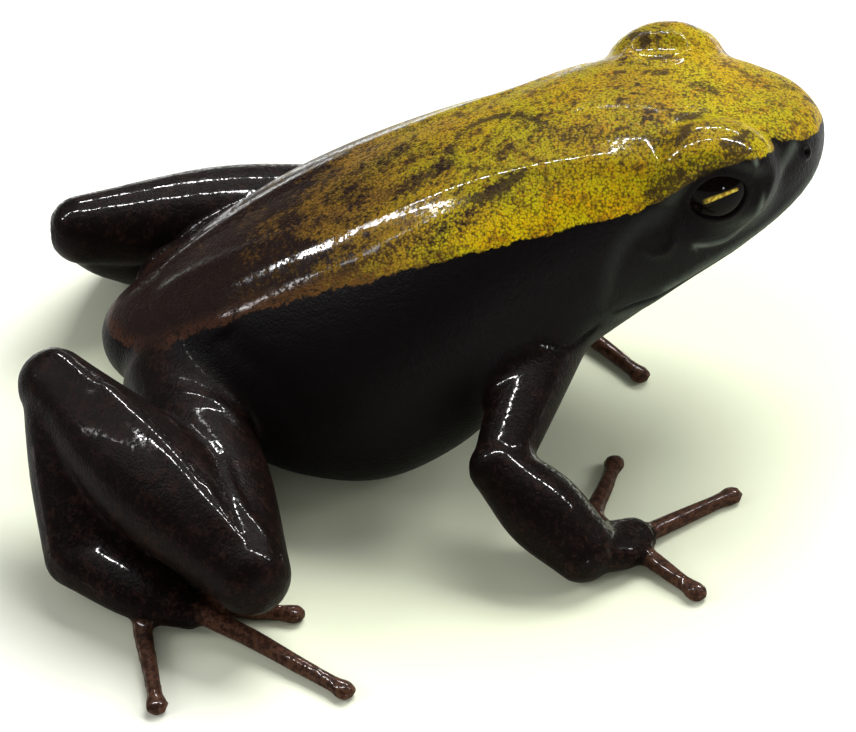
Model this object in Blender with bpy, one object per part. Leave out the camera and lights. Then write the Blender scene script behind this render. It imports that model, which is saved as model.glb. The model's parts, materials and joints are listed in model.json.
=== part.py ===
# A still, life-size model of a sitting green-backed mantella, a small ground frog.
# It rests on its belly, hands and feet. +X is the way it faces, +Y its left side, +Z up.
# Lengths are in millimetres until stand_on_origin turns them into metres.

import math

import bmesh
import bpy
import numpy as np
from mathutils import Matrix, Vector

METRES_PER_MM = 0.001
SNOUT_TO_VENT = 27.0
GAP = 0.3
SIZE = SNOUT_TO_VENT / 27.0

# Trunk and head are one loft before they are parted. A station is a ring by three points, the top (x, z),
# the side (x, y, z) and the bottom (x, z), then how square the ring is above and below its side.
TRUNK = [
    ("rump tip", (-12.9, 3.2), (-12.9, 0.0, 3.2), (-12.9, 3.2), 2.0, 2.0),
    ("rump", (-12.7, 4.0), (-12.6, 1.3, 3.1), (-12.5, 2.4), 2.1, 2.0),
    ("vent", (-11.9, 4.7), (-11.7, 2.4, 3.1), (-11.5, 1.5), 2.1, 2.0),
    ("hips", (-10.3, 5.7), (-10.1, 3.7, 3.2), (-10.0, 0.5), 2.1, 2.0),
    ("sacrum", (-8.2, 7.0), (-8.1, 5.1, 3.3), (-8.2, -0.3), 2.05, 2.3),
    ("loin", (-5.8, 8.2), (-5.7, 6.4, 3.3), (-6.0, -0.6), 2.05, 2.7),
    ("belly", (-3.0, 9.3), (-3.0, 7.1, 3.6), (-3.2, -0.6), 2.05, 2.8),
    ("chest", (0.0, 10.4), (0.0, 6.6, 4.3), (-0.6, 0.1), 2.15, 2.5),
    ("shoulders", (2.7, 11.2), (2.8, 5.5, 5.5), (1.8, 1.8), 2.3, 2.3),
    ("neck", (5.0, 11.65), (5.1, 4.8, 6.6), (3.8, 3.3), 2.6, 2.5),
    ("jaw angle", (7.2, 11.65), (7.3, 4.7, 7.3), (6.2, 5.2), 2.9, 2.3),
    ("cheek", (9.4, 11.35), (9.4, 4.2, 7.85), (8.7, 6.5), 3.1, 2.2),
    ("lores", (11.3, 10.75), (11.2, 3.1, 8.25), (10.8, 7.4), 3.2, 2.1),
    ("nostrils", (12.55, 10.15), (12.35, 1.8, 8.6), (12.15, 8.1), 2.7, 2.0),
    ("snout tip", (13.0, 9.1), (13.0, 0.0, 9.1), (13.0, 9.1), 2.0, 2.0),
]
RINGS_PER_STATION = 3
POINTS_PER_QUARTER = 8

# The line of the mouth is a groove along the side of the loft from the snout back to the jaw angle.
MOUTH_BACK = 6.2
MOUTH_FRONT = 12.8
MOUTH_DEPTH = 0.14
MOUTH_HALF_WIDTH = 0.14

# The cut between head and torso passes through these two points of the midline.
NECK_CUT_TOP = (5.4, 11.6)
NECK_CUT_THROAT = (4.1, 4.3)

# The head is turned a little to the left, by a bend of the trunk between two stations.
HEAD_TURN = math.radians(9)
TURN_START = 1.0
TURN_END = 6.0

EYE_CENTRE = Vector((8.25, 3.4, 9.75))
EYE_RADIUS = 1.45
EYE_GAP = 0.2
ORBIT_RADII = (2.25, 1.78, 1.95)
ORBIT_LIFT = 0.15
LID_OPENING = (1.3, 1.1, 0.95)
LID_LOOK = Vector((0.03, 0.98, 0.02))
EAR_CENTRE = Vector((6.05, 4.65, 8.5))
EAR_RADII = (0.75, 0.2, 0.75)
NOSTRIL_CENTRE = Vector((12.2, 1.95, 9.6))
NOSTRIL_RADIUS = 0.2

# Joints of each limb, as the frog sits. The left and the right side differ, as in a living pose.
ARM = {
    "right": {
        "shoulder": (3.1, -3.4, 5.0), "elbow": (0.95, -9.1, 3.2), "wrist": (3.6, -11.0, 1.0),
        "palm": [(4.7, -10.3, 0.6), (5.4, -9.8, 0.55)],
        "tips": [(2.2, -7.4), (5.0, -5.15), (9.05, -7.5), (7.35, -12.85)],
        "knuckles": [(3.4, -9.2), (4.05, -8.4), (6.0, -9.4), (5.6, -10.7)],
    },
    "left": {
        "shoulder": (3.1, 3.4, 5.0), "elbow": (0.6, 8.0, 3.2), "wrist": (3.3, 5.0, 1.0),
        "palm": [(3.6, 4.2, 0.6), (4.1, 3.5, 0.5)],
        "tips": [(0.9, 2.6), (2.4, 0.1), (6.35, -0.75), (6.9, 5.4)],
        "knuckles": [(2.8, 3.5), (3.4, 2.8), (4.15, 2.55), (4.6, 4.1)],
    },
}
LEG = {
    "right": {
        "hip": (-10.3, -3.0, 3.0), "knee": (-7.25, -12.85, 2.5), "heel": (-13.92, -5.0, 4.85),
        "ankle": (-12.9, -9.8, 1.25), "sole": [(-10.9, -11.3, 0.85), (-9.3, -12.2, 0.5)],
        "tips": [(-9.0, -9.2), (-7.2, -10.2), (-5.7, -12.4), (-4.1, -16.4), (-10.3, -16.65)],
        "knuckles": [(-10.2, -10.3), (-8.9, -11.1), (-7.9, -12.0), (-7.7, -13.3), (-11.05, -12.6)],
    },
    "left": {
        "hip": (-10.3, 3.0, 3.0), "knee": (-3.4, 9.6, 2.0), "heel": (-14.0, 6.0, 3.95),
        "ankle": (-12.7, 8.5, 1.0), "sole": [(-10.5, 10.1, 0.65), (-9.0, 11.1, 0.5)],
        "tips": [(-7.2, 8.6), (-4.7, 10.1), (-3.2, 12.2), (-2.8, 15.0), (-8.7, 14.6)],
        "knuckles": [(-8.8, 9.6), (-7.7, 10.6), (-7.1, 11.7), (-7.5, 12.8), (-9.9, 12.3)],
    },
}
# Half-widths and half-heights along each segment, from its near end to its far end.
UPPER_ARM_GIRTH = [(1.5, 1.5), (1.22, 1.2), (0.9, 0.92)]
FOREARM_GIRTH = [(0.98, 1.0), (1.4, 1.3), (1.22, 1.0)]
THIGH_GIRTH = [(1.7, 1.7), (2.0, 1.8), (1.35, 1.35)]
SHANK_GIRTH = [(1.3, 1.35), (2.0, 1.85), (1.3, 1.3)]
TARSUS_GIRTH = [(1.15, 1.2), (1.45, 1.3), (1.5, 1.15)]
PALM_GIRTH = [(0.95, 0.75), (1.15, 0.65), (0.8, 0.5)]
SOLE_GIRTH = [(1.4, 1.1), (1.25, 0.9), (0.75, 0.45)]
FINGER_HALF_WIDTH = 0.28
FINGER_DISC = 0.37
TOE_HALF_WIDTH = 0.28
TOE_DISC = 0.37
PAD_SINK = 0.07
KNUCKLE_LIFT = 0.16

# Colour, roughness and metallic value of each kind of surface.
FINISH = {
    "olive": ((0.42, 0.33, 0.02), 0.35, 0.0),
    "soot": ((0.02, 0.017, 0.018), 0.4, 0.0),
    "umber": ((0.05, 0.03, 0.022), 0.4, 0.0),
    "eye": ((0.01, 0.008, 0.006), 0.08, 0.0),
}
KIND = {
    "head": "olive", "torso": "olive", "eye": "eye", "upper_arm": "soot", "forearm": "umber", "hand": "umber",
    "thigh": "soot", "shank": "soot", "tarsus": "umber", "foot": "umber",
}


def catmull_rom(rows, steps):
    """Rows on a smooth curve through rows[1:-1], where the first and the last row only steer it."""
    found = []
    for a, b, c, d in zip(rows, rows[1:], rows[2:], rows[3:]):
        for k in range(steps):
            t = k / steps
            bend = (2 * a - 5 * b + 4 * c - d) * t * t + (3 * b - a - 3 * c + d) * t**3
            found.append(b + 0.5 * ((c - a) * t + bend))
    found.append(rows[-2])
    return found


def station_row(station, grow):
    """One station as a row of numbers, its ring grown outward on every side."""
    _, top, side, bottom, above, below = station
    outward = grow if side[1] else 0
    ring = [top[0], top[1] + outward, side[0], side[1] + outward, side[2], bottom[0], bottom[1] - outward]
    return np.array([*ring, above, below])


def past_the_tip(row):
    """The row that steers a rounded end: beyond its tip the ring comes back upside down."""
    tx, tz, sx, sy, sz, bx, bz, above, below = row
    return np.array([bx, bz, sx, -sy, sz, tx, tz, above, below])


def quarter(middle, side, end, power, count):
    """Points from the side of a ring to its top or bottom, evenly spaced along the curve."""
    turns = np.linspace(0, math.pi / 2, 60)
    across = np.cos(turns) ** (2 / power)
    upright = np.sin(turns) ** (2 / power)
    curve = [middle + side * float(a) + end * float(u) for a, u in zip(across, upright)]
    lengths = np.cumsum([0] + [(q - p).length for p, q in zip(curve, curve[1:])])
    edge = min(MOUTH_HALF_WIDTH, lengths[-1] / (2 * count))
    wanted = np.concatenate([[edge], np.linspace(lengths[-1] / count, lengths[-1], count)])
    spots = np.array([tuple(p) for p in curve])
    return [Vector([float(np.interp(w, lengths, spots[:, i])) for i in range(3)]) for w in wanted]


def trunk_ring(row):
    """A closed ring of the trunk, from the left side over the back and round under the belly."""
    tx, tz, sx, sy, sz, bx, bz, above, below = [float(v) for v in row]
    middle = Vector((sx, 0, sz))
    side = Vector((0, sy, 0))
    over = quarter(middle, side, Vector((tx - sx, 0, tz - sz)), above, POINTS_PER_QUARTER)
    under = quarter(middle, side, Vector((bx - sx, 0, bz - sz)), below, POINTS_PER_QUARTER)
    lips = middle + side
    if MOUTH_BACK < sx < MOUTH_FRONT:
        lips = lips - side.normalized() * MOUTH_DEPTH
    left = list(reversed(under)) + [lips] + over
    right = [Vector((p.x, -p.y, p.z)) for p in reversed(left[1:-1])]
    return left + right


def trunk(name, grow=0.0):
    """Torso and head as one closed object."""
    rows = [station_row(s, grow) for s in TRUNK]
    rows[0][[0, 2, 5]] -= grow
    rows[-1][[0, 2, 5]] += grow
    rows = [past_the_tip(rows[1]), *rows, past_the_tip(rows[-2])]
    curve = catmull_rom(rows, RINGS_PER_STATION)
    rings = [[turned(p) for p in trunk_ring(row)] for row in curve[1:-1]]
    start, end = [turned((row[0], 0, row[1])) for row in (curve[0], curve[-1])]
    return loft(name, rings, start, end)


def turned(point):
    """Where a point of the straight trunk goes when the neck bends to the left."""
    steps = np.linspace(TURN_START, max(point[0], TURN_START), 40)
    part = np.clip((steps - TURN_START) / (TURN_END - TURN_START), 0, 1)
    angles = HEAD_TURN * part * part * (3 - 2 * part)
    run = (steps[-1] - steps[0]) / (len(steps) - 1)
    x = min(point[0], TURN_START) + float(np.sum(np.cos(angles[1:]))) * run
    y = float(np.sum(np.sin(angles[1:]))) * run
    angle = float(angles[-1])
    return Vector((x - point[1] * math.sin(angle), y + point[1] * math.cos(angle), point[2]))


def head_turned(direction):
    """A direction of the straight head, turned with it."""
    return Matrix.Rotation(HEAD_TURN, 3, "Z") @ Vector(direction)


def loft(name, rings, start, end):
    """A closed object over rings of equal count, with a fan to a point at each end."""
    mesh = bmesh.new()
    loops = [[mesh.verts.new(p) for p in ring] for ring in rings]
    count = len(rings[0])
    for ring, following in zip(loops, loops[1:]):
        for k in range(count):
            j = (k + 1) % count
            mesh.faces.new((ring[k], ring[j], following[j], following[k]))
    for ring, tip in ((loops[0], start), (loops[-1], end)):
        point = mesh.verts.new(tip)
        for k in range(count):
            mesh.faces.new((ring[k], ring[(k + 1) % count], point))
    bmesh.ops.recalc_face_normals(mesh, faces=mesh.faces)
    return as_object(name, mesh)


def as_object(name, mesh):
    data = bpy.data.meshes.new(name)
    mesh.to_mesh(data)
    mesh.free()
    made = bpy.data.objects.new(name, data)
    bpy.context.scene.collection.objects.link(made)
    return made


def tube(name, path, girth, sides=16, steps=4, cap_rings=3, flat=(0, 0, 1)):
    """A limb with rounded ends along a smooth path. girth gives half-width and half-height at each point."""
    rows = [np.array([*point, *size], float) for point, size in zip(path, girth)]
    rows = [2 * rows[0] - rows[1], *rows, 2 * rows[-1] - rows[-2]]
    curve = catmull_rom(rows, steps)
    centres = [Vector(row[:3]) for row in curve]
    ways = [(q - p).normalized() for p, q in zip(centres, centres[1:])]
    ways = [ways[0]] + [(a + b).normalized() for a, b in zip(ways, ways[1:])] + [ways[-1]]
    sections = []
    for turn in np.linspace(0, 90, cap_rings + 1)[1:-1]:
        reach = math.cos(math.radians(turn)) * curve[0][4]
        sections.append((centres[0] - ways[0] * reach, ways[0], curve[0][3:] * math.sin(math.radians(turn))))
    sections += [(c, w, row[3:]) for c, w, row in zip(centres, ways, curve)]
    for turn in np.linspace(90, 0, cap_rings + 1)[1:-1]:
        reach = math.cos(math.radians(turn)) * curve[-1][4]
        size = curve[-1][3:] * math.sin(math.radians(turn))
        sections.append((centres[-1] + ways[-1] * reach, ways[-1], size))
    rings = []
    for centre, way, (half_width, half_height) in sections:
        across = Vector(flat).cross(way).normalized()
        upright = way.cross(across) * float(half_height)
        across *= float(half_width)
        turns = [2 * math.pi * k / sides for k in range(sides)]
        rings.append([centre + across * math.cos(t) + upright * math.sin(t) for t in turns])
    start = centres[0] - ways[0] * float(curve[0][4])
    end = centres[-1] + ways[-1] * float(curve[-1][4])
    return loft(name, rings, start, end)


def ball(name, centre, radii, look=None, sides=20, rings=12):
    """An ellipsoid. With look, its second radius points that way."""
    mesh = bmesh.new()
    bmesh.ops.create_uvsphere(mesh, u_segments=sides, v_segments=rings, radius=1)
    for vert in mesh.verts:
        vert.co = Vector(r * c for r, c in zip(radii, vert.co))
    if look:
        turn = Vector((0, 1, 0)).rotation_difference(look.normalized())
        for vert in mesh.verts:
            vert.co = turn @ vert.co
    bmesh.ops.translate(mesh, vec=centre, verts=mesh.verts)
    bmesh.ops.recalc_face_normals(mesh, faces=mesh.faces)
    return as_object(name, mesh)


def boolean(made, operation, others, solver="EXACT"):
    """Join, or cut away, a list of closed objects in one step, and drop them."""
    group = bpy.data.collections.new("pieces")
    bpy.context.scene.collection.children.link(group)
    for other in others:
        group.objects.link(other)
    step = made.modifiers.new("shape", "BOOLEAN")
    step.operation = operation
    step.operand_type = "COLLECTION"
    step.collection = group
    step.solver = solver
    settled = made.evaluated_get(bpy.context.evaluated_depsgraph_get())
    data = bpy.data.meshes.new_from_object(settled)
    made.modifiers.clear()
    made.data = data
    for other in others:
        bpy.data.objects.remove(other)
    bpy.data.collections.remove(group)
    keep_largest(made)


def keep_largest(made):
    """Leave only the closed surface with the most room in it."""
    mesh = bmesh.new()
    mesh.from_mesh(made.data)
    bmesh.ops.remove_doubles(mesh, verts=mesh.verts, dist=0.0005)
    waiting = set(mesh.faces)
    shells = []
    while waiting:
        seed = waiting.pop()
        shell = {seed}
        frontier = [seed]
        while frontier:
            face = frontier.pop()
            beside = {other for edge in face.edges for other in edge.link_faces} & waiting
            waiting -= beside
            shell |= beside
            frontier += beside
        shells.append(shell)
    shells.sort(key=lambda shell: sum(face.calc_area() for face in shell))
    loose = [face for shell in shells[:-1] for face in shell]
    bmesh.ops.delete(mesh, geom=loose, context="FACES")
    mesh.to_mesh(made.data)
    mesh.free()


def slice_off(made, point, away):
    """Cut an object flat through a point and drop what lies on the away side."""
    mesh = bmesh.new()
    mesh.from_mesh(made.data)
    everything = mesh.verts[:] + mesh.edges[:] + mesh.faces[:]
    cut = bmesh.ops.bisect_plane(
        mesh, geom=everything, dist=0.0005, plane_co=point, plane_no=away, clear_outer=True
    )
    rim = [g for g in cut["geom_cut"] if isinstance(g, bmesh.types.BMEdge)]
    bmesh.ops.holes_fill(mesh, edges=rim, sides=0)
    bmesh.ops.recalc_face_normals(mesh, faces=mesh.faces)
    mesh.to_mesh(made.data)
    mesh.free()
    keep_largest(made)


def part_at(first, second, point, towards_second):
    """Cut two objects apart at a plane, half the gap on each side of it."""
    way = towards_second.normalized()
    slice_off(first, point - way * GAP / 2, way)
    slice_off(second, point + way * GAP / 2, -way)


def bend_plane(near, joint, far):
    """The way from the near bone to the far bone, square to the plane that halves the bend."""
    back = (near - joint).normalized()
    on = (far - joint).normalized()
    return (on - back).normalized()


def mirrored(point, side):
    return Vector((point[0], abs(point[1]) * (1 if side == "left" else -1), point[2]))


def stand_flat(made):
    slice_off(made, Vector((0, 0, 0)), Vector((0, 0, -1)))


def build_head_and_torso():
    torso = trunk("torso")
    head = trunk("head")
    top = Vector((NECK_CUT_TOP[0], 0, NECK_CUT_TOP[1]))
    throat = Vector((NECK_CUT_THROAT[0], 0, NECK_CUT_THROAT[1]))
    along_cut = top - throat
    part_at(torso, head, turned((top + throat) / 2), head_turned((along_cut.z, 0, -along_cut.x)))
    stand_flat(torso)
    orbits = []
    hollows = []
    for side in ("left", "right"):
        eye = turned(mirrored(EYE_CENTRE, side))
        look = head_turned(mirrored(LID_LOOK, side))
        forward = head_turned((0, 1, 0))
        lifted = eye + Vector((0, 0, ORBIT_LIFT))
        orbits.append(ball("orbit", lifted, ORBIT_RADII, forward, sides=28, rings=16))
        hollows.append(ball("socket", eye, [EYE_RADIUS + EYE_GAP] * 3))
        hollows.append(ball("opening", eye + look.normalized() * EYE_RADIUS, LID_OPENING, look))
        ear_look = head_turned(mirrored((0, 1, 0), side))
        ear = turned(mirrored(EAR_CENTRE, side))
        hollows.append(ball("ear", ear, EAR_RADII, ear_look, sides=16, rings=8))
        nostril = turned(mirrored(NOSTRIL_CENTRE, side))
        hollows.append(ball("nostril", nostril, [NOSTRIL_RADIUS] * 3, sides=8, rings=6))
        ball("eye_" + side, eye, [EYE_RADIUS] * 3)
    boolean(head, "UNION", orbits)
    boolean(head, "DIFFERENCE", hollows)
    return torso, head


def build_digits(name, root, limb, flat, flat_girth, half_width, disc):
    """The flat of a hand or foot with its digits, each ending in a round disc that stands on the floor."""
    low = half_width - PAD_SINK
    middle = Vector(flat[0])
    pieces = []
    for knuckle, tip in zip(limb["knuckles"], limb["tips"]):
        knuckle = Vector((*knuckle, low + KNUCKLE_LIFT))
        tip = Vector((*tip, low))
        way = (tip - knuckle).normalized()
        path = [middle.lerp(knuckle, 0.3), knuckle, knuckle.lerp(tip, 0.5)]
        path += [tip - way * disc * reach for reach in (2.3, 1.2, 0.7)]
        girth = [(1.3, 1.2), (1.2, 1.1), (1.0, 1.0), (0.95, 0.95)]
        girth = [(half_width * wide, half_width * high) for wide, high in girth]
        girth += [(disc, half_width), (disc * 0.95, half_width * 0.9)]
        pieces.append(tube("digit", path, girth, sides=8, steps=2))
    made = tube(name, [root, *flat], flat_girth, sides=14, steps=2)
    boolean(made, "UNION", pieces, solver="MANIFOLD")
    stand_flat(made)
    return made


def build_arm(side):
    limb = ARM[side]
    shoulder, elbow, wrist = (Vector(limb[k]) for k in ("shoulder", "elbow", "wrist"))
    palm = Vector(limb["palm"][0])
    upper = tube("upper_arm_" + side, [shoulder, shoulder.lerp(elbow, 0.5), elbow], UPPER_ARM_GIRTH)
    fore = tube("forearm_" + side, [elbow, elbow.lerp(wrist, 0.5), wrist], FOREARM_GIRTH)
    hand = build_digits("hand_" + side, wrist, limb, limb["palm"], PALM_GIRTH, FINGER_HALF_WIDTH, FINGER_DISC)
    part_at(upper, fore, elbow, bend_plane(shoulder, elbow, wrist))
    part_at(fore, hand, wrist, (wrist - elbow).normalized() + (palm - wrist).normalized())
    boolean(upper, "DIFFERENCE", [trunk("clearance", GAP)])
    stand_flat(fore)


def build_leg(side):
    limb = LEG[side]
    hip, knee, heel, ankle = (Vector(limb[k]) for k in ("hip", "knee", "heel", "ankle"))
    sole = Vector(limb["sole"][0])
    thigh = tube("thigh_" + side, [hip, hip.lerp(knee, 0.5), knee], THIGH_GIRTH)
    shank = tube("shank_" + side, [knee, knee.lerp(heel, 0.5), heel], SHANK_GIRTH)
    tarsus = tube("tarsus_" + side, [heel, heel.lerp(ankle, 0.5), ankle], TARSUS_GIRTH)
    foot = build_digits("foot_" + side, ankle, limb, limb["sole"], SOLE_GIRTH, TOE_HALF_WIDTH, TOE_DISC)
    part_at(thigh, shank, knee, bend_plane(hip, knee, heel))
    part_at(shank, tarsus, heel, bend_plane(knee, heel, ankle))
    part_at(tarsus, foot, ankle, (ankle - heel).normalized() + (sole - ankle).normalized())
    for segment in (thigh, shank, tarsus):
        boolean(segment, "DIFFERENCE", [trunk("clearance", GAP)])
        stand_flat(segment)


def paint(made):
    """Give an object the material of its kind of surface."""
    body_part = made.name.removesuffix("_left").removesuffix("_right")
    kind = KIND[body_part]
    colour, roughness, metallic = FINISH[kind]
    surface = bpy.data.materials.get(kind) or bpy.data.materials.new(kind)
    surface.use_nodes = True
    shader = surface.node_tree.nodes["Principled BSDF"]
    shader.inputs["Base Color"].default_value = (*colour, 1)
    shader.inputs["Roughness"].default_value = roughness
    shader.inputs["Metallic"].default_value = metallic
    made.data.materials.clear()
    made.data.materials.append(surface)


def stand_on_origin():
    """Scale every piece to metres under one empty that puts the middle of the whole over the origin."""
    pieces = [made for made in bpy.data.objects if made.type == "MESH"]
    for made in pieces:
        for vert in made.data.vertices:
            vert.co *= SIZE * METRES_PER_MM
        paint(made)
        made.data.shade_smooth()
        made.data.set_sharp_from_angle(angle=math.radians(35))
    corners = np.array([vert.co[:] for made in pieces for vert in made.data.vertices])
    middle = (corners.min(axis=0) + corners.max(axis=0)) / 2
    stand = bpy.data.objects.new("mantella", None)
    bpy.context.scene.collection.objects.link(stand)
    stand.location = (-middle[0], -middle[1], -corners[:, 2].min())
    for made in pieces:
        made.parent = stand


for old in list(bpy.data.objects):
    bpy.data.objects.remove(old)
build_head_and_torso()
for body_side in ("right", "left"):
    build_arm(body_side)
    build_leg(body_side)
stand_on_origin()
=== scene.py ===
import json
import math

import bmesh
import bpy
import numpy as np
from mathutils import Matrix, Vector
from mathutils.bvhtree import BVHTree

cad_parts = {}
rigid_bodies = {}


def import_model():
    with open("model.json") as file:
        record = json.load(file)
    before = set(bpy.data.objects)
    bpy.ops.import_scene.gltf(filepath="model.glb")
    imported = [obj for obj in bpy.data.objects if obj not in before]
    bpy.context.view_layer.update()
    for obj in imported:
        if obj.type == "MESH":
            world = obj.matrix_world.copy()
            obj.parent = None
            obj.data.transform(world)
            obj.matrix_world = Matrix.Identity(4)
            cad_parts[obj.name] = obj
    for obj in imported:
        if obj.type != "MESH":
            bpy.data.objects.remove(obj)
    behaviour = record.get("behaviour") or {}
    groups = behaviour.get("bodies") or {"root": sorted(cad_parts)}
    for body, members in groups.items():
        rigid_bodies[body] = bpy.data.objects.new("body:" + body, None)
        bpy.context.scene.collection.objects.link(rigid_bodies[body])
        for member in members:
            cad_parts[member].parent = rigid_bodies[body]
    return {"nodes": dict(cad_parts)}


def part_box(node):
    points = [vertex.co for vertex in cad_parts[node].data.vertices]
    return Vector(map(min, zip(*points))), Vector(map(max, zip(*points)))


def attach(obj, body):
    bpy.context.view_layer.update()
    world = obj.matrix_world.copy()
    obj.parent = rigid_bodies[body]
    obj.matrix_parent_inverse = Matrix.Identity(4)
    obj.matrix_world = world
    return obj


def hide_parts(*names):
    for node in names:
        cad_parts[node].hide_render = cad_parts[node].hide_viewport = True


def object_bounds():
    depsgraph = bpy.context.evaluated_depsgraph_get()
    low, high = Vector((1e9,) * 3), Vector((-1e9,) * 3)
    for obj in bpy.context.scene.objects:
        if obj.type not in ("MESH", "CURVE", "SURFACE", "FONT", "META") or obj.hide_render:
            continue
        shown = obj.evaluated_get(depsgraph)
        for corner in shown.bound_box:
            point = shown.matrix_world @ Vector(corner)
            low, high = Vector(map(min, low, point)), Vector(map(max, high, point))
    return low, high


# A green-backed mantella at life size: one moist skin over the whole frog, and two eyes.
# Shapes are made in millimetres in the frog's own frame, then placed over the frame's solids in metres.

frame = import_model()
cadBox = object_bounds()
mm = 0.001
farAway = 9.0  # millimetres or radii, for what lies out of reach


def catmullRom(rows, steps):  # rows on a smooth curve through rows[1:-1]
    found = []
    for a, b, c, d in zip(rows, rows[1:], rows[2:], rows[3:]):
        for k in range(steps):
            t = k / steps
            bend = (2 * a - 5 * b + 4 * c - d) * t * t + (3 * b - a - 3 * c + d) * t**3
            found.append(b + 0.5 * ((c - a) * t + bend))
    found.append(rows[-2])
    return found


def smooth(low, high, values):  # 0 below low, 1 above high, eased between
    t = np.clip((np.asarray(values, float) - low) / (high - low), 0, 1)
    return t * t * (3 - 2 * t)


def bell(away, width):  # 1 at nought, fading to both sides
    return np.exp(-((away / width) ** 2))


# The head looks this many degrees to its left, and the neck bends between start and end.
neck = {"turn": 9.0, "start": 1.0, "end": 6.0, "reach": 30.0, "samples": 12001, "rounds": 12}
neckRuns = np.linspace(-neck["reach"], neck["reach"], neck["samples"])
neckTurns = math.radians(neck["turn"]) * smooth(neck["start"], neck["end"], neckRuns)
runStep = neckRuns[1] - neckRuns[0]
neckX = np.cumsum(np.cos(neckTurns)) * runStep
neckX += neck["start"] - np.interp(neck["start"], neckRuns, neckX)
neckY = np.cumsum(np.sin(neckTurns)) * runStep
neckY -= np.interp(neck["start"], neckRuns, neckY)


def bendNeck(points):  # from the straight frog to the one whose head looks left
    points = np.atleast_2d(np.asarray(points, float))
    angle = np.interp(points[:, 0], neckRuns, neckTurns)
    x = np.interp(points[:, 0], neckRuns, neckX) - points[:, 1] * np.sin(angle)
    y = np.interp(points[:, 0], neckRuns, neckY) + points[:, 1] * np.cos(angle)
    return np.stack([x, y, points[:, 2]], axis=1)


def fromNeck(points, run):  # the neck's angle at each run, and the points as seen from there
    angle = np.interp(run, neckRuns, neckTurns)
    awayX = points[:, 0] - np.interp(run, neckRuns, neckX)
    awayY = points[:, 1] - np.interp(run, neckRuns, neckY)
    return angle, awayX, awayY


def straighten(points):  # the way back
    run = points[:, 0].copy()
    for _ in range(neck["rounds"]):
        angle, awayX, awayY = fromNeck(points, run)
        run += awayX * np.cos(angle) + awayY * np.sin(angle)
    angle, awayX, awayY = fromNeck(points, run)
    return np.stack([run, awayY * np.cos(angle) - awayX * np.sin(angle), points[:, 2]], axis=1)


def headWay(direction):  # a direction of the straight head, turned with it
    return np.array(Matrix.Rotation(math.radians(neck["turn"]), 3, "Z") @ Vector(direction))


def mirrored(point, side):
    return (point[0], abs(point[1]) * (1 if side == "left" else -1), *point[2:])


def loft(rings, start, end):  # a closed shell over rings of equal count, with a fan at each end
    count = len(rings[0])
    places = [p for ring in rings for p in ring] + [start, end]
    faces = []
    for r in range(len(rings) - 1):
        for k in range(count):
            j = (k + 1) % count
            faces.append((r * count + k, r * count + j, (r + 1) * count + j, (r + 1) * count + k))
    last = (len(rings) - 1) * count
    faces += [((k + 1) % count, k, last + count) for k in range(count)]
    faces += [(last + k, last + (k + 1) % count, last + count + 1) for k in range(count)]
    return np.array(places, float), faces


def quarter(middle, side, end, power, count, samples=160):  # from the side of a ring to its top or bottom
    turns = np.linspace(0, math.pi / 2, samples)[:, None]
    curve = middle + side * np.cos(turns) ** (2 / power) + end * np.sin(turns) ** (2 / power)
    lengths = np.concatenate([[0], np.cumsum(np.linalg.norm(np.diff(curve, axis=0), axis=1))])
    wanted = np.linspace(0, lengths[-1], count + 1)
    return np.stack([np.interp(wanted, lengths, curve[:, i]) for i in range(3)], axis=1)


# Trunk and head as one loft. A station gives the ring's top (x, z), side (x, y, z) and bottom (x, z),
# then how square the ring is above and below its side.
trunkShape = {
    "stations": [
        ("rump tip", (-12.9, 3.2), (-12.9, 0.0, 3.2), (-12.9, 3.2), 2.0, 2.0),
        ("rump", (-12.7, 4.0), (-12.6, 1.3, 3.1), (-12.5, 2.4), 2.1, 2.0),
        ("vent", (-11.9, 4.7), (-11.7, 2.4, 3.1), (-11.5, 1.5), 2.1, 2.0),
        ("hips", (-10.3, 5.7), (-10.1, 3.7, 3.2), (-10.0, 0.5), 2.1, 2.0),
        ("sacrum", (-8.2, 7.0), (-8.1, 5.1, 3.3), (-8.2, -0.3), 2.05, 2.3),
        ("loin", (-5.8, 8.2), (-5.7, 6.4, 3.3), (-6.0, -0.6), 2.05, 2.7),
        ("belly", (-3.0, 9.3), (-3.0, 7.1, 3.6), (-3.2, -0.6), 2.05, 2.8),
        ("chest", (0.0, 10.4), (0.0, 6.6, 4.3), (-0.6, 0.1), 2.15, 2.5),
        ("shoulders", (2.7, 11.2), (2.8, 5.5, 5.5), (1.8, 1.8), 2.3, 2.3),
        ("neck", (5.0, 11.65), (5.1, 4.8, 6.6), (3.8, 3.3), 2.6, 2.5),
        ("jaw angle", (7.2, 11.65), (7.3, 4.7, 7.3), (6.2, 5.2), 2.9, 2.3),
        ("cheek", (9.4, 11.35), (9.4, 4.2, 7.85), (8.7, 6.5), 3.1, 2.2),
        ("lores", (11.3, 10.75), (11.2, 3.1, 8.25), (10.8, 7.4), 3.2, 2.1),
        ("nostrils", (12.55, 10.15), (12.35, 1.8, 8.6), (12.15, 8.1), 2.7, 2.0),
        ("snout tip", (13.0, 9.1), (13.0, 0.0, 9.1), (13.0, 9.1), 2.0, 2.0),
    ],
    "ringsPerStation": 7,
    "pointsPerQuarter": 20,
}


def trunkRing(row):
    tx, tz, sx, sy, sz, bx, bz, above, below = row
    middle = np.array([sx, 0, sz])
    side = np.array([0, sy, 0])
    count = trunkShape["pointsPerQuarter"]
    over = quarter(middle, side, np.array([tx - sx, 0, tz - sz]), above, count)
    under = quarter(middle, side, np.array([bx - sx, 0, bz - sz]), below, count)
    left = np.concatenate([under[::-1], over[1:]])
    return np.concatenate([left, left[-2:0:-1] * (1, -1, 1)])


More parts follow.
